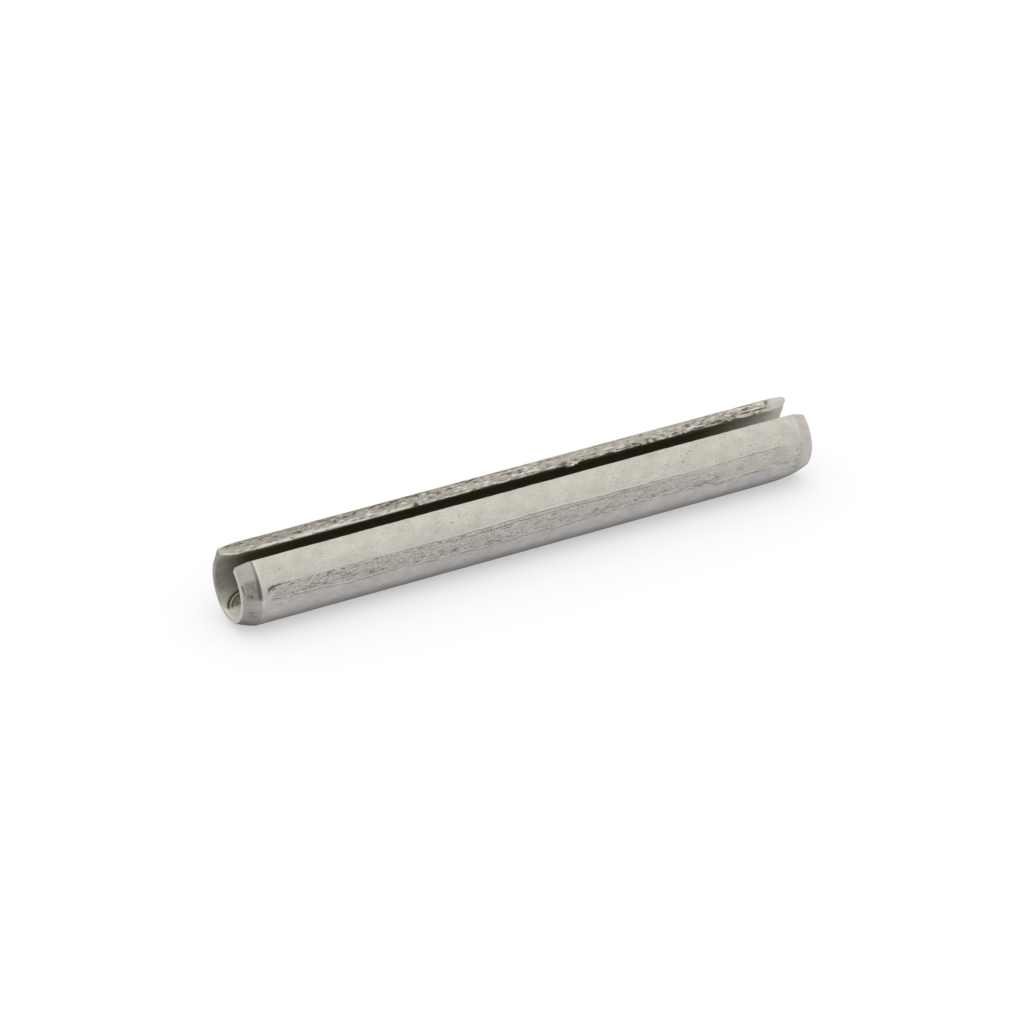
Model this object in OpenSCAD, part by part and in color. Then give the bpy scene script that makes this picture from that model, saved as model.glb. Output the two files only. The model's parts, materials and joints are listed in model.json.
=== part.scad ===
// Slotted spring pin: one strip of spring steel rolled into an open tube.
// The slot lets the tube close up as it is driven into its hole, and the chamfers start it there.
// The axis lies along X, the slot faces up, and the origin is on the axis at mid-length.

/* [Body] */
// Outer diameter of the free pin, before it is driven in
pin_d = 6.5; // [3.6:0.1:16]
// Length from end to end
pin_length = 50; // [12:1:100]
// Thickness of the rolled strip
wall = 1; // [0.7:0.05:1.6]

/* [Slot] */
// Angle that the open slot takes up about the axis
slot_angle = 59; // [20:1:120]
// Width of the small bevel along each edge of the strip's cut faces
edge_bevel = 0.12; // [0.04:0.01:0.3]

/* [Ends] */
// Length of each end's chamfer along the axis
chamfer_length = 1.4; // [0.6:0.1:3]
// How far each chamfer takes the outer radius in
chamfer_depth = 0.55; // [0.2:0.05:0.65]

/* [Hidden] */

// How far a cutter runs past what it cuts
overrun = 1;
// Facets of a full circle when the pin is drawn as a mesh
circle_facets = 96;
bright_steel = [0.75, 0.73, 0.68];

outer_r = pin_d / 2;
bore_r = outer_r - wall;
end_r = outer_r - chamfer_depth;
half_length = pin_length / 2;
half_slot = slot_angle / 2;

// A point of the section at a radius and at a turn from the middle of the slot
function polar(radius, turn) = [radius * sin(turn), radius * cos(turn)];

// The turn that a bevel takes up at a radius
function bevel_turn(radius) = edge_bevel / radius * 180 / PI;

// The line from a to b, carried on past b by its own length
function past(a, b) = 2 * b - a;

function mirrored(points) = [for (i = [len(points) - 1:-1:0]) [-points[i].x, points[i].y]];

// One side of the slot, from inside the bore to outside the pin: the bevel in the bore,
// the strip's cut face along a radius, and the bevel outside
face_low = polar(bore_r + edge_bevel, half_slot);
face_high = polar(outer_r - edge_bevel, half_slot);
bore_side = past(face_low, polar(bore_r, half_slot + bevel_turn(bore_r)));
outer_side = past(face_high, polar(outer_r, half_slot + bevel_turn(outer_r)));
slot_side = [bore_side, face_low, face_high, outer_side, [outer_side.x, outer_r + overrun]];

// The tube as a full ring: a plain bore, and an outside with a chamfer at each end
module chamfered_tube() {
    rotate_extrude($fn = circle_facets)
        polygon([
            [bore_r, -half_length],
            [end_r, -half_length],
            [outer_r, -half_length + chamfer_length],
            [outer_r, half_length - chamfer_length],
            [end_r, half_length],
            [bore_r, half_length],
        ]);
}

// What the slot leaves out of the ring, from end to end
module slot_cutter() {
    linear_extrude(height = pin_length + 2 * overrun, center = true)
        polygon(concat(slot_side, mirrored(slot_side)));
}

// The pin is built standing on Z with its slot towards +Y, then laid along X with the slot up
module spring_pin() {
    color(bright_steel)
        rotate([90, 0, 90])
            difference() {
                chamfered_tube();
                slot_cutter();
            }
}

spring_pin();
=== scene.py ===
"""A slotted spring pin, lying with its slot up on a plain pale floor.

The pin is one mesh. It is laid out as a block of grid points: round the rolled strip, along the pin
and through the strip's thickness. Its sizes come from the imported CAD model. Lengths are in
millimetres until the mesh is made, and a turn is an angle about the pin's axis, from the middle of
the slot towards -Y.
"""
import json
import math

import bpy
import numpy as np
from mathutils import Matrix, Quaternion, Vector


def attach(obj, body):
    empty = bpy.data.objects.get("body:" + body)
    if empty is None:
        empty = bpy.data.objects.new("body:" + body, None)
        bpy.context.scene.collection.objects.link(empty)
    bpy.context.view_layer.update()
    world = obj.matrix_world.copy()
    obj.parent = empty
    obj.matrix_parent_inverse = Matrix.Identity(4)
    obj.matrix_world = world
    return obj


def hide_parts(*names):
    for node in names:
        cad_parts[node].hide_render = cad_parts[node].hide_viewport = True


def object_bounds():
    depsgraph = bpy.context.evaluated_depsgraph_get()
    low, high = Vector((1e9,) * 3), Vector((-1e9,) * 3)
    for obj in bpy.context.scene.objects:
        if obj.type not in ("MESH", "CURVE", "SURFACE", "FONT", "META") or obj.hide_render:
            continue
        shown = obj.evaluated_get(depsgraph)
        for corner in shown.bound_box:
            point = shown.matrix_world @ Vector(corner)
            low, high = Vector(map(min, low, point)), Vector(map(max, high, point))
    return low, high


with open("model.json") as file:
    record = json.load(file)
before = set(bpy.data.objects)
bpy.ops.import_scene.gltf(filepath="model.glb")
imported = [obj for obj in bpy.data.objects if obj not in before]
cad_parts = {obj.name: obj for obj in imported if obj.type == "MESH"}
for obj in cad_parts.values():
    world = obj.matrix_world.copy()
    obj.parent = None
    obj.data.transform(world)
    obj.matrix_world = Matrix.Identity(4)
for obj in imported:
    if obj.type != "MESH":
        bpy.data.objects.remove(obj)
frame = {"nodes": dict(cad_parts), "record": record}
cad_low, cad_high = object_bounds()

MM = 0.001
NODE = "spring_pin"
NEAR = -1
FAR = 1


# ---------------------------------------------------------------- sizes from the CAD model
def read_sizes():
    """The pin's main sizes, in millimetres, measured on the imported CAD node."""
    points = np.array([v.co for v in frame["nodes"][NODE].data.vertices]) / MM
    radius = np.hypot(points[:, 1], points[:, 2])
    turn = np.abs(np.arctan2(points[:, 1], points[:, 2]))
    half_length = points[:, 0].max()
    at_end = points[:, 0] > half_length - 0.001
    mounts = {m["name"]: m for m in frame["record"]["mounts"]}
    shaft_length = mounts["shaft"]["dims"]["length_mm"]
    return {
        "outer": radius.max(),
        "bore": radius.min(),
        "rim": radius[at_end].max(),
        "half_length": half_length,
        "half_slot": turn.min(),
        "chamfer": half_length - shaft_length / 2,
    }


SIZES = read_sizes()
OUTER = SIZES["outer"]
BORE = SIZES["bore"]
WALL = OUTER - BORE
HALF_LENGTH = SIZES["half_length"]
FIRST_TURN = SIZES["half_slot"]
LAST_TURN = 2 * math.pi - FIRST_TURN


# ---------------------------------------------------------------- small helpers
def deg(angle):
    """An angle given in degrees, as radians."""
    return math.radians(angle)


def ease(x):
    """0 below 0, 1 above 1, and a smooth step between."""
    x = np.clip(x, 0, 1)
    return x * x * (3 - 2 * x)


def rise(x, low, high):
    """A smooth step from 0 at low to 1 at high, where high may be the smaller one."""
    return ease((x - low) / (high - low))


def hump(x, middle, half_width):
    """1 in the middle, and 0 from half_width away."""
    return ease(1 - np.abs(x - middle) / half_width)


def between(x, low, high, edge):
    """1 from low to high, and 0 from edge outside them."""
    return rise(x, low - edge, low) * rise(x, high + edge, high)


# Large odd numbers that scramble a lattice corner's two numbers into one
SCRAMBLE_I = np.uint32(374761393)
SCRAMBLE_J = np.uint32(668265263)
SCRAMBLE_BOTH = np.uint32(1274126177)
# How far apart two seeds lie, and the bits of the scrambled number that are kept
SEED_STEP = 9781
LOW_BITS = 0xFFFF

# The size of a lump so long that the noise doesn't change that way
ENDLESS = 1e6


def lattice(i, j, seed):
    """A repeatable number from -1 to 1 for each corner of a lattice."""
    n = i.astype(np.uint32) * SCRAMBLE_I
    n = n + j.astype(np.uint32) * SCRAMBLE_J
    n = n + np.uint32(seed * SEED_STEP + 1)
    n = (n ^ (n >> np.uint32(13))) * SCRAMBLE_BOTH
    n = n ^ (n >> np.uint32(16))
    return (n & np.uint32(LOW_BITS)) / (LOW_BITS / 2) - 1.0


def noise(x, y, wide, tall, seed):
    """Smooth noise from -1 to 1, with lumps about wide by tall."""
    x = x / wide
    y = y / tall
    i = np.floor(x).astype(np.int64)
    j = np.floor(y).astype(np.int64)
    u = ease(x - i)
    v = ease(y - j)
    low = lattice(i, j, seed) * (1 - u) + lattice(i + 1, j, seed) * u
    high = lattice(i, j + 1, seed) * (1 - u) + lattice(i + 1, j + 1, seed) * u
    return low * (1 - v) + high * v


def layered(x, y, wide, tall, seed, layers=3):
    """Noise on noise, each layer half as large and half as strong as the one before."""
    total = 0
    for k in range(layers):
        total = total + noise(x, y, wide / 2**k, tall / 2**k, seed + k) / 2**k
    return total / (2 - 2 ** (1 - layers))


# ---------------------------------------------------------------- the block of grid points
def paced(start, stop, gap_at):
    """Places from start to stop, each gap_at(place) past the one before."""
    places = [start]
    while places[-1] < stop:
        places.append(places[-1] + gap_at(places[-1]))
    places = np.array(places)
    return start + (places - start) * (stop - start) / (places[-1] - start)


def gap_along(x):
    """Spacing along the pin: fine at its shaped ends."""
    fine = 0.065
    plain = 0.155
    inwards = HALF_LENGTH - abs(x)
    return fine + (plain - fine) * float(rise(inwards, 1.8, 4.0))


def gap_round(turn):
    """Spacing round the pin: fine at the slot's edges, and where the steel is marked."""
    fine = 0.05
    marked = 0.11
    plain = 0.21
    from_slot = OUTER * min(turn - FIRST_TURN, LAST_TURN - turn)
    band = float(between(turn, deg(62), deg(104), deg(8)))
    scar = float(between(turn, deg(196), deg(224), deg(6)))
    away = plain + (marked - plain) * max(band, 0.8 * scar)
    return (fine + (away - fine) * float(rise(from_slot, 0.1, 1.0))) / OUTER


def gap_through(depth):
    """Spacing through the strip's wall: fine at its two surfaces."""
    fine = 0.045
    plain = 0.09
    inwards = min(depth, WALL - depth)
    return fine + (plain - fine) * float(rise(inwards, 0.05, 0.25))


def block_skin(shape):
    """Numbers the points on the outside of a block, and lists the block's four-sided faces."""
    outside = np.zeros(shape, bool)
    for axis in range(3):
        sheets = np.moveaxis(outside, axis, 0)
        sheets[0] = True
        sheets[-1] = True
    number = np.full(shape, -1)
    number[outside] = np.arange(outside.sum())
    faces = []
    for axis in range(3):
        sheets = np.moveaxis(number, axis, 0)
        for side in (0, -1):
            sheet = sheets[side]
            corners = [sheet[:-1, :-1], sheet[1:, :-1], sheet[1:, 1:], sheet[:-1, 1:]]
            looks_inwards = (side == 0) != (axis == 1)
            if looks_inwards:
                corners.reverse()
            faces.append(np.stack([c.ravel() for c in corners], 1))
    return np.argwhere(outside), np.concatenate(faces)


# ---------------------------------------------------------------- the pin's form
CHAMFER = SIZES["chamfer"]
CHAMFER_DEPTH = OUTER - SIZES["rim"]
LIP_TAPER_LENGTH = 1.3
LIP_TAPER = 0.42


def from_end(x, end):
    """How far x is from the pin's near or far end."""
    return HALF_LENGTH - end * x


def lip_corner(turn):
    """1 at the far lip, where the chamfer's tool missed the strip's corners, and 0 away from it."""
    return rise(turn, deg(298), deg(333)) ** 2


def near_lip_corner(turn):
    """1 at the near lip, where the near end's chamfer is shorter, and 0 away from it."""
    return rise(turn, deg(48), deg(30))


def chamfer_drop(x, turn, end):
    """How much the chamfer at one end takes off the outer radius."""
    beyond = from_end(x, end)
    depth = CHAMFER_DEPTH * (1 - 0.8 * lip_corner(turn))
    if end == NEAR:
        length = CHAMFER * (1 - 0.3 * near_lip_corner(turn))
        depth = depth * (1 - 0.4 * near_lip_corner(turn))
        softness = 0.05
    else:
        under = rise(turn, deg(85), deg(140)) * rise(turn, deg(260), deg(205))
        length = CHAMFER * (0.9 + 0.54 * under)
        softness = 0.03 + 0.37 * under
    slope = depth * (1 - beyond / length)
    drop = (slope + np.sqrt(slope**2 + (softness * depth) ** 2)) / 2
    belly = 0.09 * depth * hump(beyond, 0.45 * length, 0.6 * length)
    return np.maximum(drop - belly, 0)


def bore_taper(x, turn):
    """How far the bore opens at the two corners of the far lip."""
    near = np.clip(1 - from_end(x, NEAR) / LIP_TAPER_LENGTH, 0, 1) ** 2
    far = np.clip(1 - from_end(x, FAR) / LIP_TAPER_LENGTH, 0, 1) ** 2
    return LIP_TAPER * lip_corner(turn) * (near + far)


def outer_radius(x, turn):
    """The outer radius, less what both chamfers take off."""
    return OUTER - chamfer_drop(x, turn, NEAR) - chamfer_drop(x, turn, FAR)


def inner_radius(x, turn):
    """The bore's radius, and more where it opens."""
    return BORE + bore_taper(x, turn)


def rounded(offset, size, radius):
    """Splits places in a block into a core and how far out of it they are, in shares of radius."""
    core = np.clip(offset, radius, size - radius)
    return core, (offset - core) / radius


def edge_rounding(turn, x, depth):
    """How far the edges are rounded, in millimetres: round the pin, along it and through the wall.

    The far lip's edges are more ragged than the near lip's, above all beside the bore.
    """
    far_side = rise(turn, math.pi, LAST_TURN)
    at_bore = rise(depth, WALL, 0)
    uneven = 1 + layered(x, depth, 0.8, 3.0, 11)
    ragged = far_side * at_bore * uneven * (0.3 + 0.7 * rise(x, -8, 2))
    nicked = far_side * (1 - at_bore) * uneven
    round_arc = 0.08 + 0.07 * ragged + 0.03 * nicked
    round_depth = 0.07 + 0.11 * ragged + 0.03 * nicked
    far_tip = lip_corner(turn) * rise(from_end(x, FAR), 0.8, 0.1)
    round_depth = round_depth * (1 - far_tip) + 0.2 * far_tip
    round_end = 0.06 + (0.12 + 0.26 * rise(x, 0, 1)) * lip_corner(turn)
    return round_arc, round_end, round_depth


def form(turn, x, depth):
    """The pin's plain form: turns, places along the axis and radii, with all edges rounded."""
    low = inner_radius(x, turn)
    high = outer_radius(x, turn)
    radius = low + (high - low) * depth / WALL
    arc = (turn - FIRST_TURN) * radius
    arc_size = (LAST_TURN - FIRST_TURN) * radius
    round_arc, round_end, round_depth = edge_rounding(turn, x, depth)
    core_arc, out_arc = rounded(arc, arc_size, round_arc)
    core_x, out_x = rounded(x + HALF_LENGTH, 2 * HALF_LENGTH, round_end)
    core_r, out_r = rounded(radius - low, high - low, round_depth)
    reach = np.sqrt(out_arc**2 + out_x**2 + out_r**2)
    reach = np.maximum(reach, 1e-9)
    arc = core_arc + out_arc / reach * round_arc
    turn = FIRST_TURN + arc / radius
    x = core_x + out_x / reach * round_end - HALF_LENGTH
    radius = low + core_r + out_r / reach * round_depth
    return turn, x, radius


def to_space(turn, x, radius):
    """The points, in millimetres, at these turns, places along the axis and radii."""
    return np.stack([x, -radius * np.sin(turn), radius * np.cos(turn)], 1)


# ---------------------------------------------------------------- marks on the steel
# Where the scuffed band starts and stops along the pin
BAND_START = -23.05
BAND_STOP = 23.3
# Where the notch is in the far lip's edge, and where the lump of torn metal starts and stops
NOTCH_AT = -8.3
LUMP_START = 4.95
LUMP_STOP = 5.8
# Where the far lip's rough stretch starts, and where it stops beside the bore
ROUGH_START = -23.3
ROUGH_STOP = 22.3
# The oval burr scar: its middle's distance from the near end, its turn in degrees, half its length
# and half its width. The last number turns shares of those halves into rough millimetres
BURR_FROM_NEAR = 2.05
BURR_TURN = 192
BURR_HALF_LENGTH = 1.6
BURR_HALF_WIDTH = 1.36
BURR_SIZE = 1.4
# How far from the near end the groove beside the near chamfer's ridge lies
GROOVE_AT = CHAMFER - 0.12


class Place:
    """Where each point of the mesh is on the pin, for the functions that mark the steel."""

    def __init__(self, grid, turns, places, depths):
        self.turn = turns[grid[:, 0]]
        self.x = places[grid[:, 1]]
        self.depth = depths[grid[:, 2]]
        self.near_lip = grid[:, 0] == 0
        self.far_lip = grid[:, 0] == len(turns) - 1
        self.lip = self.near_lip | self.far_lip
        self.bore = (grid[:, 2] == 0) & ~self.lip
        self.outside = (grid[:, 2] == len(depths) - 1) & ~self.lip
        self.end = (grid[:, 1] == 0) | (grid[:, 1] == len(places) - 1)
        self.angle = np.degrees(self.turn)
        self.arc = self.turn * OUTER
        self.from_near = from_end(self.x, NEAR)
        self.from_far = from_end(self.x, FAR)


def band_top(x):
    """The turn, in degrees, of the upper border of the scuffed band on the -Y side."""
    return 70.2 + 1.6 * noise(x, x, 7.0, ENDLESS, 21)


def band_low(x):
    """The turn, in degrees, of the band's lower border."""
    return 92.5 + 5.0 * rise(x, -20, -8) + 1.8 * noise(x, x, 3.0, ENDLESS, 23)


def below_top(p):
    """How far each point lies below the band's upper border, in millimetres."""
    return np.radians(p.angle - band_top(p.x)) * OUTER


def above_low(p):
    """How far each point lies above the band's lower border, in millimetres."""
    return np.radians(band_low(p.x) - p.angle) * OUTER


def scuffed_band(p):
    """1 in the band that tumbling roughened, and 0 outside it."""
    across = rise(below_top(p), -0.06, 0.06) * rise(above_low(p), -0.14, 0.06)
    along = rise(p.x, BAND_START - 0.1, BAND_START + 0.5) * rise(p.x, BAND_STOP, BAND_STOP - 1.5)
    return across * along * p.outside


def scuff_strength(p):
    """How rough the band is: less towards the far end, but for a stretch of its lower half."""
    smoother = 0.65 * rise(p.x, -8, 14)
    again = 0.45 * between(p.x, 9.0, 15.5, 1.5) * rise(above_low(p), 1.3, 0.8)
    return scuffed_band(p) * (1 - smoother + again)


def band_borders(p):
    """How deep the grooves at the band's two borders are."""
    along = rise(p.x, BAND_START - 0.4, BAND_START) * rise(p.x, BAND_STOP, BAND_STOP - 2.5)
    across = 0.8 * hump(below_top(p), 0, 0.09) + 0.7 * hump(above_low(p), 0, 0.09)
    return across * along * p.outside


def hook(p):
    """The deep nick where the band's upper border starts, hooked downwards."""
    level = hump(p.angle, 71.2, 2.6) * between(p.x, -22.6, -21.6, 0.4)
    down = hump(p.x, BAND_START + 0.05, 0.22) * between(p.angle, 73.5, 77.0, 2.5)
    return np.maximum(level, down) * p.outside


def burr_oval(p):
    """Signed distance, in millimetres, from the oval burr scar inside the near end."""
    along = (p.from_near - BURR_FROM_NEAR) / BURR_HALF_LENGTH
    across = (p.turn - deg(BURR_TURN)) * BORE / BURR_HALF_WIDTH
    return BURR_SIZE * (np.hypot(along, across) - 1)


def burr_fade(p):
    """1 where the burr scar's rings are whole, and 0 where they are rubbed away."""
    return rise(p.angle, 191, 203) * rise(p.angle, 262, 250) * rise(p.from_near, 4.2, 3.4) * p.bore


def burr_rings(p):
    """Two grooves round the burr scar."""
    ring = burr_oval(p)
    return (hump(ring, 0.1, 0.12) + hump(ring, -0.14, 0.12)) * burr_fade(p)


def sheared(p):
    """Streaks along the strip's cut faces, from about -1 to 1, that differ from lip to lip."""
    shift = np.where(p.far_lip, 0.0, 40.0)
    long_streaks = layered(p.x, p.depth + shift, 2.2, 0.16, 41)
    tears = layered(p.x, p.depth + shift, 0.5, 0.2, 45)
    return (0.6 * long_streaks + 0.6 * tears) * p.lip


def rough_stop(p):
    """Where along the pin the far lip's rough stretch stops: 1 mm later at the outside."""
    return ROUGH_STOP + 1.0 * rise(p.depth, 0.0, 0.7)


def lip_pits(p):
    """Torn pits in the far lip's face, one by its far end, one by the lump, and the notch."""
    torn = 0.35 + 0.65 * between(p.x, 16.5, 23.0, 1.5)
    pits = rise(layered(p.x, p.depth, 0.55, 0.26, 51), 0.62 - 0.4 * torn, 0.95 - 0.4 * torn)
    pits = pits * between(p.x, ROUGH_START, rough_stop(p), 0.3)
    far_spot = hump(p.x, 23.2, 0.3) * hump(p.depth, 0.75, 0.3)
    by_lump = hump(p.x, 4.7, 0.4) * hump(p.depth, 0.2, 0.3)
    notch = 1.5 * hump(p.x, NOTCH_AT, 0.35) * rise(p.depth, 0.5, 0.1)
    return np.maximum.reduce([pits, far_spot, by_lump, notch]) * p.far_lip


def burr_lump(p):
    """The lump of torn metal that hangs from the far lip's edge into the bore."""
    uneven = 0.75 + 0.4 * noise(p.x, p.x, 0.3, ENDLESS, 55)
    along = between(p.x, LUMP_START, LUMP_STOP, 0.22) * uneven
    at_edge = rise(p.depth, 0.35, 0.0) * rise((LAST_TURN - p.turn) * BORE, 0.45, 0.1)
    return along * at_edge


def edge_in_bore(p):
    """1 on the bore's surface right beside the far lip's edge, and 0 from 0.25 mm away."""
    return rise((LAST_TURN - p.turn) * BORE, 0.25, 0.1) * p.bore


def under_lip(p):
    """1 on the bore's surface close under the far lip, where the dark scale, oil and painted shade
    are lighter and browner.
    """
    return rise(p.angle, 303, 318) * p.bore


def glinting_stretch(p):
    """1 along the stretch of the far lip's edge where a highlight is painted, towards the near end,
    and 0 past it.
    """
    return between(p.x, -21.0, -9.5, 1.5)


def ridge(p):
    """The raised ridge at the near chamfer's start."""
    return hump(p.from_near, CHAMFER + 0.06, 0.2) * between(p.angle, 32, 90, 12) * p.outside


def ridge_groove(p):
    """The groove pressed in beside that ridge."""
    return hump(p.from_near, GROOVE_AT, 0.17) * between(p.angle, 34, 84, 8) * p.outside


def relief(p):
    """How far each point stands out of the pin's plain form, in millimetres."""
    band = scuffed_band(p)
    height = 0.006 * layered(p.x, p.arc, 8.0, 2.0, 71) * (p.outside | p.bore)
    height += 0.010 * band * layered(p.x, p.arc, 0.6, 0.22, 72)
    height += 0.003 * p.outside * layered(p.x, p.arc, 1.6, 0.8, 75)
    height -= 0.009 * band_borders(p) + 0.05 * hook(p)
    height += 0.012 * ridge(p) - 0.025 * ridge_groove(p)
    height += 0.028 * sheared(p) - 0.07 * lip_pits(p)
    height -= 0.045 * burr_rings(p)
    return height


def film_and_shade_in_bore(p):
    """Dark scale and oil in the tube, with painted shade that deepens away from its ends: lighter
    at its ends and under the lip, and none beside the glinting stretch of the far lip's edge.
    """
    low_down = rise(p.angle, 225, 200)
    near = 0.25 + 0.75 * rise(p.from_near, 0.2, 2.8)
    near = near * (1 - low_down) + 0.9 * rise(p.from_near, 1.2, 3.6) * low_down
    far = 0.14 + 0.86 * rise(p.from_far, 1.0, 8.5)
    glints = edge_in_bore(p) * glinting_stretch(p)
    return 0.95 * np.minimum(near, far) * p.bore * (1 - glints) * (1 - 0.35 * under_lip(p))


def painted_shade_on_lip(p):
    """Painted shade: the dark line along the far lip's edge in the bore, and the dark in the lip's
    pits, beside the lump and in the notch.
    """
    reach = 0.07 + 0.08 * rise(p.x, -22.0, -23.0)
    edge = 0.8 * rise(p.depth, reach, 0.0) * p.far_lip * (1 - glinting_stretch(p))
    return edge * between(p.x, -24.5, 22.0, 0.3) + 0.9 * lip_pits(p)


def painted_shade_outside(p):
    """Painted shade under the pin, darkest along its lowest strip, and in the near chamfer's
    groove; and a faint dark line where the far chamfer starts.
    """
    # painted shade on the underside, with a darker strip along its lowest part
    under = 0.55 * between(p.angle, 134, 226, 22) + 0.25 * between(p.angle, 142, 218, 9)
    # painted shade in the groove beside the near chamfer's ridge
    groove_share = 0.5 + 0.4 * rise(p.angle, 42, 62)
    groove_width = 0.19 + 0.09 * rise(p.angle, 58, 74)
    groove = groove_share * hump(p.from_near, GROOVE_AT, groove_width) * between(p.angle, 32, 84, 6)
    far_edge = 0.14 * hump(p.from_far, 1.35, 0.2) * between(p.angle, 72, 112, 8)
    return (under + groove + far_edge) * p.outside


def film_and_shade(p):
    """Where dark scale and oil lie, and where shade is painted, from 0 to 1."""
    return np.clip(film_and_shade_in_bore(p) + painted_shade_on_lip(p) + painted_shade_outside(p), 0, 1)


def bright(p):
    """Where light is painted on the steel, from 0 to 1: painted highlights on the near chamfer's
    ridge, on the torn lump and along the far lip's edge in the bore, and painted light on the end
    faces' -Y half, on the bore's floor by the near end, in the bore by the far end, on a line where
    the far chamfer starts and on the far lip's tip.
    """
    # All of these are painted light, lightening faces and edges where lamps would fall
    rim = 0.15 * p.end * rise(p.angle, 190, 160)
    floor_of_bore = rise(p.from_near, 2.0, 0.6) * between(p.angle, 120, 196, 8) * p.bore
    far_bore = 0.4 * rise(p.from_far, 2.2, 0.4) * p.bore
    far_edge = 0.25 * hump(p.from_far, 1.32, 0.12) * between(p.angle, 30, 62, 10) * p.outside
    far_tip = 0.3 * rise(p.x, 23.3, 23.8) * p.far_lip
    # painted highlights on the ridge's crest, on the lump of torn metal and along the stretch of
    # the far lip's edge
    glints = 0.3 * ridge(p) + 1.5 * burr_lump(p) + 0.9 * edge_in_bore(p) * glinting_stretch(p)
    return np.clip(glints + rim + floor_of_bore + far_bore + far_edge + far_tip, 0, 1)


def stain(p):
    """Where a brown film lies, from 0 to 1: at the near end, and in the bore under the far lip."""
    on_chamfer = rise(p.from_near, CHAMFER - 0.02, CHAMFER - 0.2) * p.outside
    middle = between(p.angle, 60, 82, 6) * rise(p.from_near, 0.15, 0.4)
    low_down = 0.55 * between(p.angle, 104, 118, 5) * hump(p.from_near, 0.7, 0.8)
    rim = 0.75 * between(p.angle, 225, 325, 20) * p.end * (p.x < 0)
    near_bore = 0.4 * between(p.angle, 245, 272, 14) * rise(p.from_near, 2.4, 0.3) * p.bore
    below_lip = 0.6 * under_lip(p) * rise(p.from_near, 2, 5) * rise(p.from_far, 2, 7)
    return np.clip(on_chamfer * (middle + low_down) + rim + near_bore + below_lip, 0, 1)


def far_chamfer(p):
    """1 on the far chamfer, which is a little pinker than the steel beside it."""
    return rise(p.from_far, 1.3, 1.22) * p.outside * rise(p.angle, 28, 40) * rise(p.angle, 120, 90)


def near_chamfer(p):
    """1 on the near chamfer, which is greyer than the steel beside it."""
    return rise(p.from_near, CHAMFER + 0.02, CHAMFER - 0.06) * p.outside


def far_scuffs(p):
    """1 in the row of scuffs beside the far chamfer."""
    return hump(p.from_far, 1.62, 0.42) * between(p.angle, 76, 114, 5) * p.outside


def cut_face(p):
    """1 on the strip's rough cut faces, beside the slot."""
    rough_ends = np.where(p.far_lip, 0.25 + 0.75 * between(p.x, -24.4, rough_stop(p), 0.4), 1.0)
    return rough_ends * p.lip


def far_lip(p):
    """1 on the far lip's cut face, short of its smooth ends."""
    return p.far_lip * between(p.x, -23.0, rough_stop(p) - 0.3, 0.4)


def lip_edge(p):
    """1 along the far lip's edge in the bore, where its highlight is painted, and 0 from 0.24 to
    0.4 mm away.
    """
    reach = 0.24 + 0.14 * rise(p.x, 4, 8) + 0.16 * glinting_stretch(p)
    whole = 0.02 + 0.12 * glinting_stretch(p)
    along = between(p.x, -22.0, rough_stop(p) - 0.3, 0.5)
    return rise(p.depth, reach, whole) * p.far_lip * along


def cool_reflection(p):
    """Where a bluish-grey reflection and shade are painted on the steel: from the band down, and a
    little in the bore.
    """
    later = 20 * rise(p.x, 10, 20)
    away = rise(p.angle, 62 + later, 84 + later) * np.where(p.outside, 1.0, 0.3)
    return away * rise(p.from_far, 1.2, 1.6)


def scuffed_range(p):
    """1 along the stretch of the pin where the scuffed band's borders are drawn."""
    starts = rise(p.x, BAND_START + 0.7, BAND_START + 1.2)
    return starts * rise(p.x, BAND_STOP - 0.2, BAND_STOP - 2.0)


def outside(p):
    """1 on the outside of the tube."""
    return p.outside * 1.0


POINT_MARKS = (
    below_top,
    above_low,
    burr_oval,
    burr_fade,
    scuffed_band,
    film_and_shade,
    bright,
    stain,
    near_chamfer,
    far_chamfer,
    far_scuffs,
    scuff_strength,
    cut_face,
    far_lip,
    lip_edge,
    cool_reflection,
    scuffed_range,
    outside,
)


# ---------------------------------------------------------------- the pin's mesh
def vertex_normals(points, faces):
    """The unit normal at each point, from the faces round it."""
    across = points[faces[:, 2]] - points[faces[:, 0]]
    along = points[faces[:, 3]] - points[faces[:, 1]]
    face_normals = np.cross(across, along)
    total = np.zeros_like(points)
    for corner in range(4):
        np.add.at(total, faces[:, corner], face_normals)
    return total / np.maximum(np.linalg.norm(total, axis=1, keepdims=True), 1e-12)


def keep(mesh, name, values):
    """Stores one number for each point, for the material to read."""
    layer = mesh.attributes.new(name, "FLOAT", "POINT")
    layer.data.foreach_set("value", values.astype(np.float32))


def keep_place(mesh, p):
    """Stores where each point is on the rolled strip laid out flat, in millimetres."""
    layer = mesh.attributes.new("place", "FLOAT_VECTOR", "POINT")
    place = np.stack([p.x, p.arc, p.depth], 1)
    layer.data.foreach_set("vector", place.astype(np.float32).ravel())


def pin_points(p, faces):
    """The mesh's points, in millimetres: the plain form, the lump, and then the fine relief."""
    turn, x, radius = form(p.turn, p.x, p.depth)
    lump = burr_lump(p)
    radius = radius - 0.2 * lump
    turn = turn + 0.12 * lump / BORE
    points = to_space(turn, x, radius)
    points = points + vertex_normals(points, faces) * relief(p)[:, None]
    points[:, 2] = np.maximum(points[:, 2], cad_low.z / MM)
    return points


def make_pin():
    """The whole pin, as one mesh that carries its marks."""
    turns = paced(FIRST_TURN, LAST_TURN, gap_round)
    places = paced(-HALF_LENGTH, HALF_LENGTH, gap_along)
    depths = paced(0, WALL, gap_through)
    grid, faces = block_skin((len(turns), len(places), len(depths)))
    p = Place(grid, turns, places, depths)
    mesh = bpy.data.meshes.new("rolled_strip")
    mesh.from_pydata((pin_points(p, faces) * MM).tolist(), [], faces.tolist())
    mesh.shade_smooth()
    for mark in POINT_MARKS:
        keep(mesh, mark.__name__, mark(p))
    keep_place(mesh, p)
    pin = bpy.data.objects.new("rolled_strip", mesh)
    bpy.context.scene.collection.objects.link(pin)
    return pin


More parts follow.
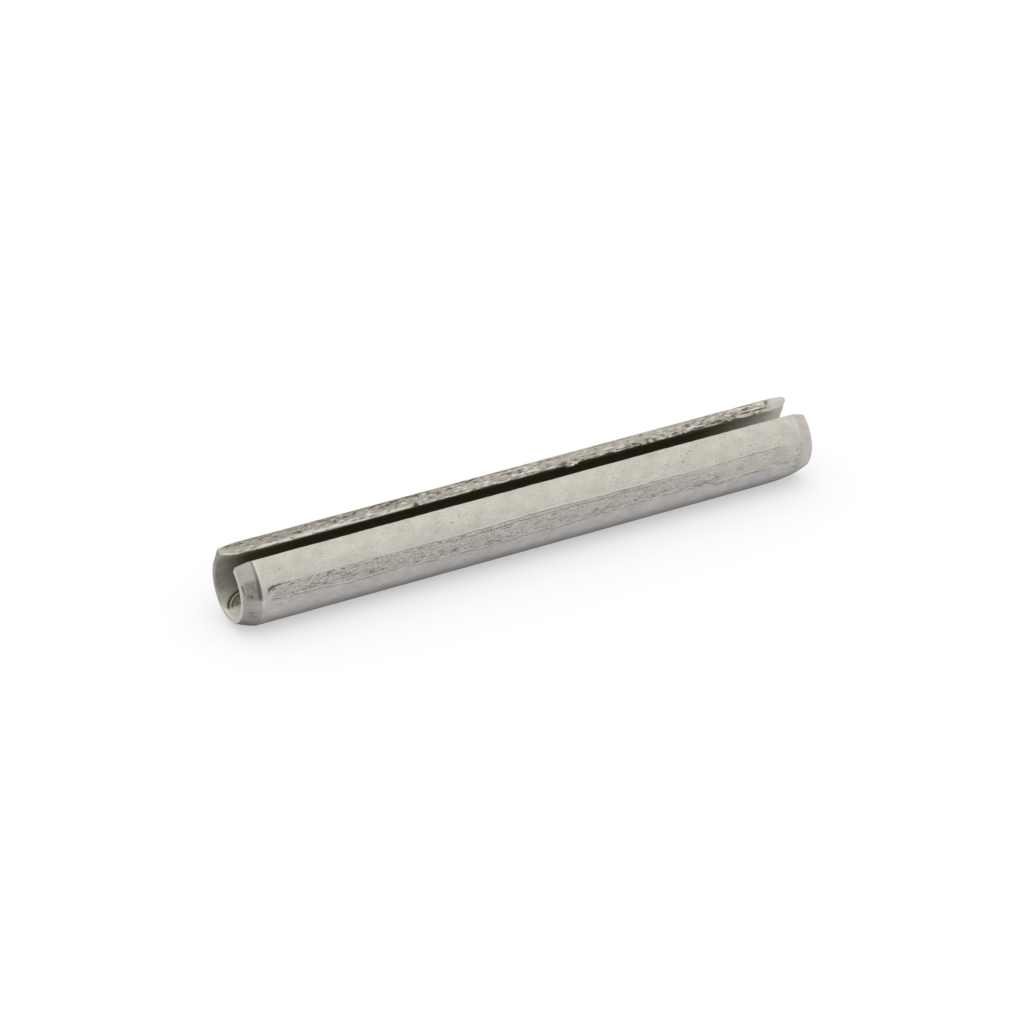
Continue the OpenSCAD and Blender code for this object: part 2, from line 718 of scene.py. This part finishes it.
# ---------------------------------------------------------------- material nodes
class Nodes:
    """Short ways to build a material's nodes."""

    def __init__(self, tree):
        self.tree = tree

    def link(self, value, socket):
        """Links an output to a socket, or sets the socket to a plain value."""
        if isinstance(value, bpy.types.NodeSocket):
            self.tree.links.new(value, socket)
        else:
            socket.default_value = value

    def attribute(self, name, output="Fac"):
        """What the mesh holds at each point under this name."""
        node = self.tree.nodes.new("ShaderNodeAttribute")
        node.attribute_name = name
        return node.outputs[output]

    def noise(self, lump, detail, seed):
        """Noise with lumps of this size, in millimetres: along, round and through the strip."""
        mapping = self.tree.nodes.new("ShaderNodeMapping")
        mapping.inputs["Scale"].default_value = [1 / size for size in lump]
        mapping.inputs["Location"].default_value = (seed * 7.3, seed * 3.1, seed * 5.7)
        self.tree.links.new(self.attribute("place", "Vector"), mapping.inputs["Vector"])
        node = self.tree.nodes.new("ShaderNodeTexNoise")
        node.inputs["Scale"].default_value = 1.0
        node.inputs["Detail"].default_value = detail
        self.tree.links.new(mapping.outputs["Vector"], node.inputs["Vector"])
        return node.outputs["Fac"]

    def noise_along(self, size, detail, seed):
        """Noise that changes only along the pin, with lumps of this size."""
        return self.noise((size, ENDLESS, ENDLESS), detail, seed)

    def place(self, axis):
        """The place along (X), round (Y) or through (Z) the strip, in millimetres."""
        node = self.tree.nodes.new("ShaderNodeSeparateXYZ")
        self.tree.links.new(self.attribute("place", "Vector"), node.inputs[0])
        return node.outputs[axis]

    def wander(self, size, reach, seed):
        """A line that wanders by up to reach along the pin, in bends of this size."""
        value = self.noise_along(size, 3, seed)
        return self.span(value, 0.2, 0.8, -reach, reach)

    def math(self, operation, a, b=0.0, clamped=False):
        """One sum on two numbers."""
        node = self.tree.nodes.new("ShaderNodeMath")
        node.operation = operation
        node.use_clamp = clamped
        self.link(a, node.inputs[0])
        self.link(b, node.inputs[1])
        return node.outputs[0]

    def vector_math(self, operation, a, b, output="Vector"):
        """One sum on two vectors, or on a vector and the number that scales it."""
        node = self.tree.nodes.new("ShaderNodeVectorMath")
        node.operation = operation
        self.link(a, node.inputs[0])
        self.link(b, node.inputs[3 if operation == "SCALE" else 1])
        return node.outputs[output]

    def times(self, *values):
        """All the values multiplied."""
        total = values[0]
        for value in values[1:]:
            total = self.math("MULTIPLY", total, value)
        return total

    def most(self, *values):
        """The largest of the values."""
        total = values[0]
        for value in values[1:]:
            total = self.math("MAXIMUM", total, value)
        return total

    def span(self, value, low, high, to_low=0.0, to_high=1.0):
        """The value from low to high, stretched to run from to_low to to_high."""
        node = self.tree.nodes.new("ShaderNodeMapRange")
        for socket, setting in zip(node.inputs, (value, low, high, to_low, to_high)):
            self.link(setting, socket)
        return node.outputs["Result"]

    def stretch(self, value, start, full_from, full_to, stop):
        """1 from full_from to full_to, falling to 0 at start and at stop."""
        return self.times(self.span(value, start, full_from), self.span(value, stop, full_to))

    def line(self, value, middle, half_width):
        """1 where the value is at the middle, and 0 from half_width away."""
        away = self.math("ABSOLUTE", self.math("SUBTRACT", value, middle))
        return self.span(away, half_width, 0.25 * half_width)

    def stroke(self, start, stop, half_width):
        """1 on a straight stroke between two points (x, turn) of the outside, and 0 off it."""
        start = Vector((start[0], deg(start[1]) * OUTER, WALL))
        stop = Vector((stop[0], deg(stop[1]) * OUTER, WALL))
        run = stop - start
        offset = self.vector_math("SUBTRACT", self.attribute("place", "Vector"), start)
        share = self.vector_math("DOT_PRODUCT", offset, run, "Value")
        share = self.math("DIVIDE", share, run.length_squared, clamped=True)
        nearest = self.vector_math("SCALE", tuple(run), share)
        away = self.vector_math("DISTANCE", offset, nearest, "Value")
        return self.span(away, half_width, 0.4 * half_width)

    def mix(self, share, a, b, blend="MIX"):
        """The colour a, with b laid over it by this share."""
        node = self.tree.nodes.new("ShaderNodeMix")
        node.data_type = "RGBA"
        node.blend_type = blend
        factor, first, second = (node.inputs[i] for i in (0, 6, 7))
        for socket, value in ((factor, share), (first, a), (second, b)):
            if isinstance(value, tuple):
                value = (*value, 1)
            self.link(value, socket)
        return node.outputs[2]


# ---------------------------------------------------------------- the steel's marks, as nodes
# Each stroke's start and stop, as a place along the pin and a turn in degrees, then half its width
# in millimetres and how dark it is
STROKES = (
    # the hooked nick at the start of the band's upper border
    ((-23.1, 80.0), (-23.04, 76.0), 0.13, 0.4),
    ((-23.0, 75.6), (-22.9, 73.4), 0.15, 0.9),
    ((-22.92, 73.6), (-22.6, 71.8), 0.17, 0.9),
    ((-22.65, 71.9), (-22.1, 70.8), 0.1, 0.85),
    ((-22.2, 70.8), (-21.2, 71.2), 0.06, 0.7),
    # nicks and dirt on the near chamfer
    ((-24.38, 78.8), (-24.35, 79.3), 0.09, 0.9),
    ((-24.88, 61), (-24.84, 69), 0.08, 0.85),
    ((-24.84, 69), (-24.8, 76), 0.09, 0.6),
    ((-24.62, 106.5), (-24.38, 107.5), 0.07, 0.7),
    ((-24.5, 113), (-24.0, 114.5), 0.1, 0.35),
    # scratches along the low border, towards the far end
    ((14.9, 95), (15.7, 99), 0.06, 0.5),
    ((15.7, 102.5), (16.6, 101), 0.07, 0.55),
    ((18.9, 97), (20.2, 98.5), 0.06, 0.45),
    ((21.3, 95.5), (22.4, 96.5), 0.06, 0.5),
    # scuffs beside the far chamfer
    ((23.0, 98), (23.3, 96), 0.06, 0.45),
    ((22.9, 108), (23.3, 109), 0.07, 0.6),
    ((23.3, 113), (23.6, 117), 0.08, 0.6),
    # two specks below the band at the near end
    ((-22.2, 99), (-22.0, 100), 0.07, 0.4),
    ((-21.4, 98), (-21.3, 99), 0.07, 0.35),
)


def strokes(n):
    """The nicks and short scratches, from 0 to 1."""
    return n.most(*[n.times(n.stroke(*stroke), share) for *stroke, share in STROKES])


def border_lines(n):
    """The fine wavy lines that edge the scuffed band: a dark share and a light share."""
    along = n.place("X")
    below = n.attribute("below_top")
    here = n.times(n.attribute("outside"), n.attribute("scuffed_range"))
    patchy = n.span(n.noise_along(1.6, 3, 2), 0.35, 0.6, 0.25, 1.0)
    gaps = n.span(n.noise_along(0.9, 2, 19), 0.42, 0.56)
    top = n.math("ADD", below, n.wander(1.0, 0.05, 3))
    second = n.math("ADD", below, n.wander(1.6, 0.1, 4))
    wavy = n.times(n.wander(0.9, 0.2, 5), n.span(along, 10, 15, 1.0, 0.3))
    low = n.math("ADD", n.attribute("above_low"), wavy)
    top_share = n.times(n.span(along, 4, 12, 1.0, 0.9), n.span(along, -13, -8, 0.45, 1.0))
    low_share = n.times(n.most(gaps, n.span(along, 5, 1)), n.span(along, 14, 17, 1.0, 1.5))
    light_share = n.times(n.span(along, -14, -4, 0.1, 1.0), n.span(along, 12, 18, 1.0, 0.3))
    dark = n.most(
        n.times(n.line(top, 0.0, 0.06), patchy, top_share),
        n.times(n.line(second, 0.26, 0.07), n.stretch(along, -10, -7, 6, 16), 0.8),
        n.times(n.line(low, 0.0, 0.06), patchy, low_share),
    )
    light = n.most(
        n.times(n.line(top, -0.09, 0.08), light_share),
        n.times(n.line(low, 0.12, 0.1), 0.8),
    )
    return n.times(dark, here), n.times(light, here)


def band_scratches(n):
    """Short dark scratches in the band, thick at the near end, and rows and blots further on."""
    along = n.place("X")
    below = n.attribute("below_top")
    above = n.attribute("above_low")
    outside = n.attribute("outside")
    worms = n.span(n.noise((0.8, 0.085, 1.0), 3, 6), 0.53, 0.64)
    patches = n.span(n.noise((2.2, 0.5, 1.0), 2, 7), 0.4, 0.62, 0.15, 1.0)
    middle = n.math("ADD", below, n.wander(4.0, 0.3, 20))
    near_rows = n.most(n.line(below, 0.08, 0.24), n.line(middle, 1.0, 0.32))
    near_rows = n.times(near_rows, n.span(along, -1, -7))
    whole = n.times(n.most(patches, near_rows), n.attribute("scuff_strength"))
    low_stretch = n.times(n.stretch(along, 2, 5, 13, 15), outside)
    low_rows = n.times(n.line(above, 0.22, 0.34), low_stretch, 0.75)
    top_rows = n.times(n.line(below, 0.1, 0.34), n.stretch(along, 3, 6, 12, 15), outside, 0.65)
    blots = n.span(n.noise((0.42, 0.16, 1.0), 2, 25), 0.58, 0.66)
    blots = n.times(blots, n.line(above, 0.35, 0.6), low_stretch, 0.6)
    return n.most(n.times(worms, n.most(whole, low_rows, top_rows)), blots)


def specks(n):
    """Sparse dark specks and streaks on the outside, and the dashes beside the far chamfer."""
    spots = n.span(n.noise((0.28, 0.17, 1.0), 2, 21), 0.662, 0.715)
    where = n.span(n.noise((3.0, 1.6, 1.0), 2, 22), 0.42, 0.55)
    streaks = n.span(n.noise((1.1, 0.12, 1.0), 2, 23), 0.65, 0.74)
    dashes = n.span(n.noise((0.22, 0.13, 1.0), 2, 24), 0.52, 0.6)
    marks = n.most(
        n.times(spots, where),
        n.times(streaks, 0.5),
        n.times(dashes, n.attribute("far_scuffs")),
    )
    return n.times(marks, n.attribute("outside"))


def torn_marks(n):
    """Streaks and chips on the cut faces: a dark share and a light share.

    They crowd in some places. The dark ones lie high on the face as far as the middle, and low
    beyond it, where the upper half is smoother.
    """
    along = n.place("X")
    depth = n.place("Z")
    scratches = n.noise((2.2, ENDLESS, 0.05), 4, 9)
    chips = n.noise((0.6, ENDLESS, 0.15), 2, 10)
    region = n.noise((2.6, ENDLESS, 0.5), 2, 11)
    marks = n.math("ADD", n.times(scratches, 0.4), n.times(chips, 0.6))
    high = n.times(n.span(depth, 0.25, 0.9, -0.02, 0.025), n.span(along, 2, 5, 1.0, -1.2))
    marks = n.math("ADD", marks, high)
    dark_from = n.span(region, 0.35, 0.65, 0.52, 0.59)
    light_from = n.span(region, 0.35, 0.65, 0.41, 0.49)
    light_from = n.math("SUBTRACT", light_from, n.span(along, -4, -11, 0.0, 0.025))
    smooth = n.times(n.span(depth, 0.4, 0.6), n.stretch(along, 3, 5, 14, 17))
    torn = n.span(smooth, 0, 1, 1.0, 0.45)
    dark = n.span(n.math("SUBTRACT", marks, dark_from), 0.0, 0.03)
    light = n.span(n.math("SUBTRACT", light_from, marks), 0.0, 0.03)
    return n.times(dark, torn), n.times(light, torn)


def lip_edge_highlight(n):
    """The painted highlight along the far lip's edge in the bore, unbroken towards the near end."""
    pieces = n.span(n.noise_along(1.1, 3, 12), 0.42, 0.5)
    return n.times(n.attribute("lip_edge"), n.most(pieces, n.span(n.place("X"), -9, -12)))


def lip_bites(n):
    """Dark bites out of the far lip's edge in the bore, deeper towards the far end."""
    along = n.place("X")
    reach = n.span(n.noise_along(0.45, 3, 15), 0.4, 0.62, 0.0, 0.3)
    reach = n.times(reach, n.span(along, -9, -6, 0.0, 0.4), n.span(along, 4, 8, 1.0, 2.5))
    bitten = n.span(n.math("SUBTRACT", reach, n.place("Z")), 0.0, 0.05)
    return n.times(bitten, n.attribute("far_lip"))


def lip_rim(n):
    """The thin dark line along the cut faces' outer edge."""
    patchy = n.span(n.noise_along(1.5, 3, 18), 0.38, 0.56, 0.5, 1.0)
    return n.times(n.line(n.place("Z"), 0.93, 0.1), patchy, 0.55)


def lip_marks(n):
    """All marks on the cut faces: a dark share, and a light share that also holds the painted
    highlight along the far lip's edge.
    """
    cut = n.attribute("cut_face")
    dark, light = torn_marks(n)
    dark = n.most(dark, lip_bites(n), lip_rim(n))
    light = n.most(light, lip_edge_highlight(n))
    return n.times(dark, cut), n.times(light, cut)


def burr_marks(n):
    """The dark rings of the burr scar inside the near end, and the light line between them."""
    oval = n.attribute("burr_oval")
    seen = n.attribute("burr_fade")
    grain = n.noise((0.14, 0.14, 1.0), 3, 14)
    rings = n.most(n.line(oval, 0.11, 0.17), n.line(oval, -0.14, 0.11))
    centre = n.span(oval, -0.14, -0.24)
    dark = n.most(rings, n.times(centre, n.span(grain, 0.44, 0.54, 0.4, 0.9)))
    light = n.most(n.line(oval, -0.02, 0.07), n.times(centre, n.span(grain, 0.46, 0.38)))
    return n.times(dark, seen), n.times(light, seen)


# ---------------------------------------------------------------- materials
WARM_STEEL = (0.540, 0.522, 0.462)
# The painted bluish-grey reflection and shade of the pin's lower side
COOL_REFLECTION = (0.500, 0.478, 0.474)
SCUFFED_STEEL = (0.460, 0.436, 0.404)
CHAMFER_STEEL = (0.390, 0.375, 0.355)
CUT_STEEL = (0.500, 0.465, 0.400)
DULL_CUT_STEEL = (0.415, 0.385, 0.335)
# The pale colour of bare steel, also used for every painted highlight and all painted light
BRIGHT_STEEL = (0.860, 0.830, 0.750)
PINK_STEEL = (0.570, 0.520, 0.475)
OLIVE_STEEL = (0.510, 0.505, 0.425)
FAR_CHAMFER_STEEL = (0.545, 0.505, 0.470)
BROWN_FILM = (0.200, 0.178, 0.140)
# The dark of scale and oil, also used for painted shade in the bore and along the far lip's edge
DARK_FILM = (0.080, 0.066, 0.024)
# The grey of the painted shade outside: under the pin and in the near chamfer's groove, and the
# faint line where the far chamfer starts
GREY_SHADE = (0.070, 0.065, 0.068)


def plain_steel(n, grain, mottle):
    """The steel's own colour, by where it is, with soft mottling, and a painted reflection and
    shade on the lower side.
    """
    tint = n.noise((1.2, 0.8, 1.0), 5, 16)
    # painted reflection and shade: greyer and darker from the band down
    colour = n.mix(n.attribute("cool_reflection"), WARM_STEEL, COOL_REFLECTION)
    colour = n.mix(n.span(tint, 0.52, 0.68, 0, 0.85), colour, PINK_STEEL)
    colour = n.mix(n.span(tint, 0.48, 0.32, 0, 0.85), colour, OLIVE_STEEL)
    along = n.place("X")
    cut = n.attribute("cut_face")
    colour = n.mix(cut, colour, CUT_STEEL)
    near_cut = n.times(cut, n.span(along, -4, -11), n.span(n.place("Z"), 0.2, 0.5))
    colour = n.mix(near_cut, colour, DULL_CUT_STEEL)
    colour = n.mix(n.attribute("near_chamfer"), colour, CHAMFER_STEEL)
    colour = n.mix(n.attribute("far_chamfer"), colour, FAR_CHAMFER_STEEL)
    scuffed = n.times(n.attribute("scuffed_band"), n.span(grain, 0.35, 0.65, 0.3, 1.0))
    scuffed = n.times(scuffed, n.span(along, 12, 19, 1.0, 0.4))
    colour = n.mix(scuffed, colour, SCUFFED_STEEL)
    dust = n.noise((0.09, 0.09, 0.2), 2, 17)
    speckled = n.span(n.attribute("scuff_strength"), 0, 1, 0.3, 2.0)
    speckle = n.times(n.math("SUBTRACT", grain, 0.5), speckled)
    speckle = n.math("ADD", speckle, n.times(n.math("SUBTRACT", dust, 0.5), 0.7))
    shade = n.math("ADD", n.span(mottle, 0.25, 0.75, 0.89, 1.09), speckle)
    return n.mix(1.0, colour, shade, "MULTIPLY")


def steel_colour(n, grain, mottle):
    """Plain steel, then what lies on it, and the painted light and painted shade."""
    colour = plain_steel(n, grain, mottle)
    patchy = n.span(n.noise((0.25, 0.4, 1.0), 3, 13), 0.4, 0.6, 0.62, 1.0)
    colour = n.mix(n.times(n.attribute("stain"), patchy), colour, BROWN_FILM)
    border_dark, border_light = border_lines(n)
    lip_dark, lip_light = lip_marks(n)
    burr_dark, burr_light = burr_marks(n)
    # painted light and painted highlights, with the light marks of the borders, cut faces and burr
    # scar, lighten the colour
    light = n.most(n.attribute("bright"), n.times(lip_light, 0.95), n.times(border_light, 0.3))
    colour = n.mix(light, colour, BRIGHT_STEEL)
    dark = n.most(
        strokes(n),
        n.times(specks(n), 0.55),
        n.times(border_dark, 0.55),
        n.times(band_scratches(n), 0.95),
        n.times(lip_dark, 0.9),
    )
    # dark scale, oil and painted shade darken the colour: grey painted shade outside, and the dark
    # colour in the bore and on the lip
    under = n.times(n.attribute("film_and_shade"), n.attribute("outside"))
    dark_colour = n.mix(n.span(under, 0.0, 0.4), DARK_FILM, GREY_SHADE)
    colour = n.mix(n.most(dark, n.attribute("film_and_shade")), colour, dark_colour)
    colour = n.mix(n.times(burr_light, 0.45), colour, BRIGHT_STEEL)
    return n.mix(burr_dark, colour, DARK_FILM)


def steel_roughness(n, grain):
    """How matte the steel is: more in the scuffed band, and where dark scale, oil and painted shade
    lie.
    """
    rough = n.span(grain, 0.3, 0.7, 0.46, 0.56)
    rough = n.math("ADD", rough, n.times(n.attribute("scuffed_band"), 0.08))
    return n.math("ADD", rough, n.times(n.attribute("film_and_shade"), 0.1))


def steel_bump(n, grain):
    """The steel's fine grain as bump, strongest in the scuffed band."""
    bump = n.tree.nodes.new("ShaderNodeBump")
    bump.inputs["Distance"].default_value = 0.012 * MM
    n.link(n.span(n.attribute("scuffed_band"), 0, 1, 0.35, 0.9), bump.inputs["Strength"])
    n.link(grain, bump.inputs["Height"])
    return bump.outputs["Normal"]


def steel_material():
    """Tumbled spring steel, with what the marks' functions say lies on it."""
    material = bpy.data.materials.new("tumbled_steel")
    material.use_nodes = True
    n = Nodes(material.node_tree)
    shader = material.node_tree.nodes["Principled BSDF"]
    grain = n.noise((0.2, 0.13, 0.2), 4, 0)
    mottle = n.noise((1.1, 0.8, 1.0), 4, 1)
    n.link(steel_colour(n, grain, mottle), shader.inputs["Base Color"])
    n.link(steel_roughness(n, grain), shader.inputs["Roughness"])
    n.link(steel_bump(n, grain), shader.inputs["Normal"])
    shader.inputs["Metallic"].default_value = 0.4
    return material


FLOOR_COLOUR = 0.5
FLOOR_GLOW = 0.47
SEEN_RAYS = ("Is Camera Ray", "Is Glossy Ray", "Is Transmission Ray")


def floor_material():
    """A pale floor, with a glow that makes it white where it is seen, straight or in the metal."""
    material = bpy.data.materials.new("pale_floor")
    material.use_nodes = True
    tree = material.node_tree
    shader = tree.nodes["Principled BSDF"]
    shader.inputs["Base Color"].default_value = (FLOOR_COLOUR, FLOOR_COLOUR, FLOOR_COLOUR, 1)
    shader.inputs["Roughness"].default_value = 1.0
    shader.inputs["Specular IOR Level"].default_value = 0.0
    shader.inputs["Emission Color"].default_value = (1, 1, 1, 1)
    path = tree.nodes.new("ShaderNodeLightPath")
    n = Nodes(tree)
    seen = n.most(*[path.outputs[ray] for ray in SEEN_RAYS])
    n.link(n.times(seen, FLOOR_GLOW), shader.inputs["Emission Strength"])
    return material


# ---------------------------------------------------------------- studio
def make_floor():
    """The floor that the pin lies on, 4 metres square."""
    half = 2.0
    z = cad_low.z
    corners = [(-half, -half, z), (half, -half, z), (half, half, z), (-half, half, z)]
    mesh = bpy.data.meshes.new("floor")
    mesh.from_pydata(corners, [], [(0, 1, 2, 3)])
    floor = bpy.data.objects.new("floor", mesh)
    mesh.materials.append(floor_material())
    bpy.context.scene.collection.objects.link(floor)


def softbox(name, azimuth, elevation, distance, size, brightness):
    """A square lamp that faces the pin. Its brightness is what a mirror would show of it."""
    data = bpy.data.lights.new(name, "AREA")
    data.shape = "SQUARE"
    data.size = size
    data.energy = brightness * math.pi * size**2
    lamp = bpy.data.objects.new(name, data)
    lamp.location = around(azimuth, elevation, distance)
    lamp.rotation_mode = "QUATERNION"
    lamp.rotation_quaternion = (-lamp.location).to_track_quat("-Z", "Y")
    bpy.context.scene.collection.objects.link(lamp)


def around(azimuth, elevation, distance):
    """A place around the pin. Azimuth 0 is on the -Y side, and 90 on the +X side."""
    a = deg(azimuth)
    e = deg(elevation)
    return distance * Vector((math.sin(a) * math.cos(e), -math.cos(a) * math.cos(e), math.sin(e)))


def make_world():
    """Plain white light from all round."""
    world = bpy.data.worlds.new("studio")
    bpy.context.scene.world = world
    world.use_nodes = True
    background = world.node_tree.nodes["Background"]
    background.inputs["Color"].default_value = (1, 1, 1, 1)
    background.inputs["Strength"].default_value = 1.0


def make_camera():
    """A long lens from the -Y side and above, with the pin's near end towards it."""
    azimuth = -27.97
    elevation = 28.42
    distance = 0.3636
    aim = Vector((-0.53, 0.17, -0.18)) * MM
    roll = deg(-1.15)
    data = bpy.data.cameras.new("camera")
    data.lens = 164.8
    data.sensor_width = 36.0
    data.clip_start = 0.01
    data.clip_end = 10.0
    camera = bpy.data.objects.new("camera", data)
    camera.location = around(azimuth, elevation, distance)
    level = (aim - camera.location).to_track_quat("-Z", "Y")
    camera.rotation_mode = "QUATERNION"
    camera.rotation_quaternion = level @ Quaternion((0, 0, 1), roll)
    bpy.context.scene.collection.objects.link(camera)
    bpy.context.scene.camera = camera


make_camera()
make_world()
softbox("key", azimuth=-10, elevation=62, distance=0.9, size=1.1, brightness=0.35)
make_floor()

pin = make_pin()
pin.data.materials.append(steel_material())
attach(pin, "root")
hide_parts(NODE)

bpy.context.scene.view_settings.view_transform = "Standard"
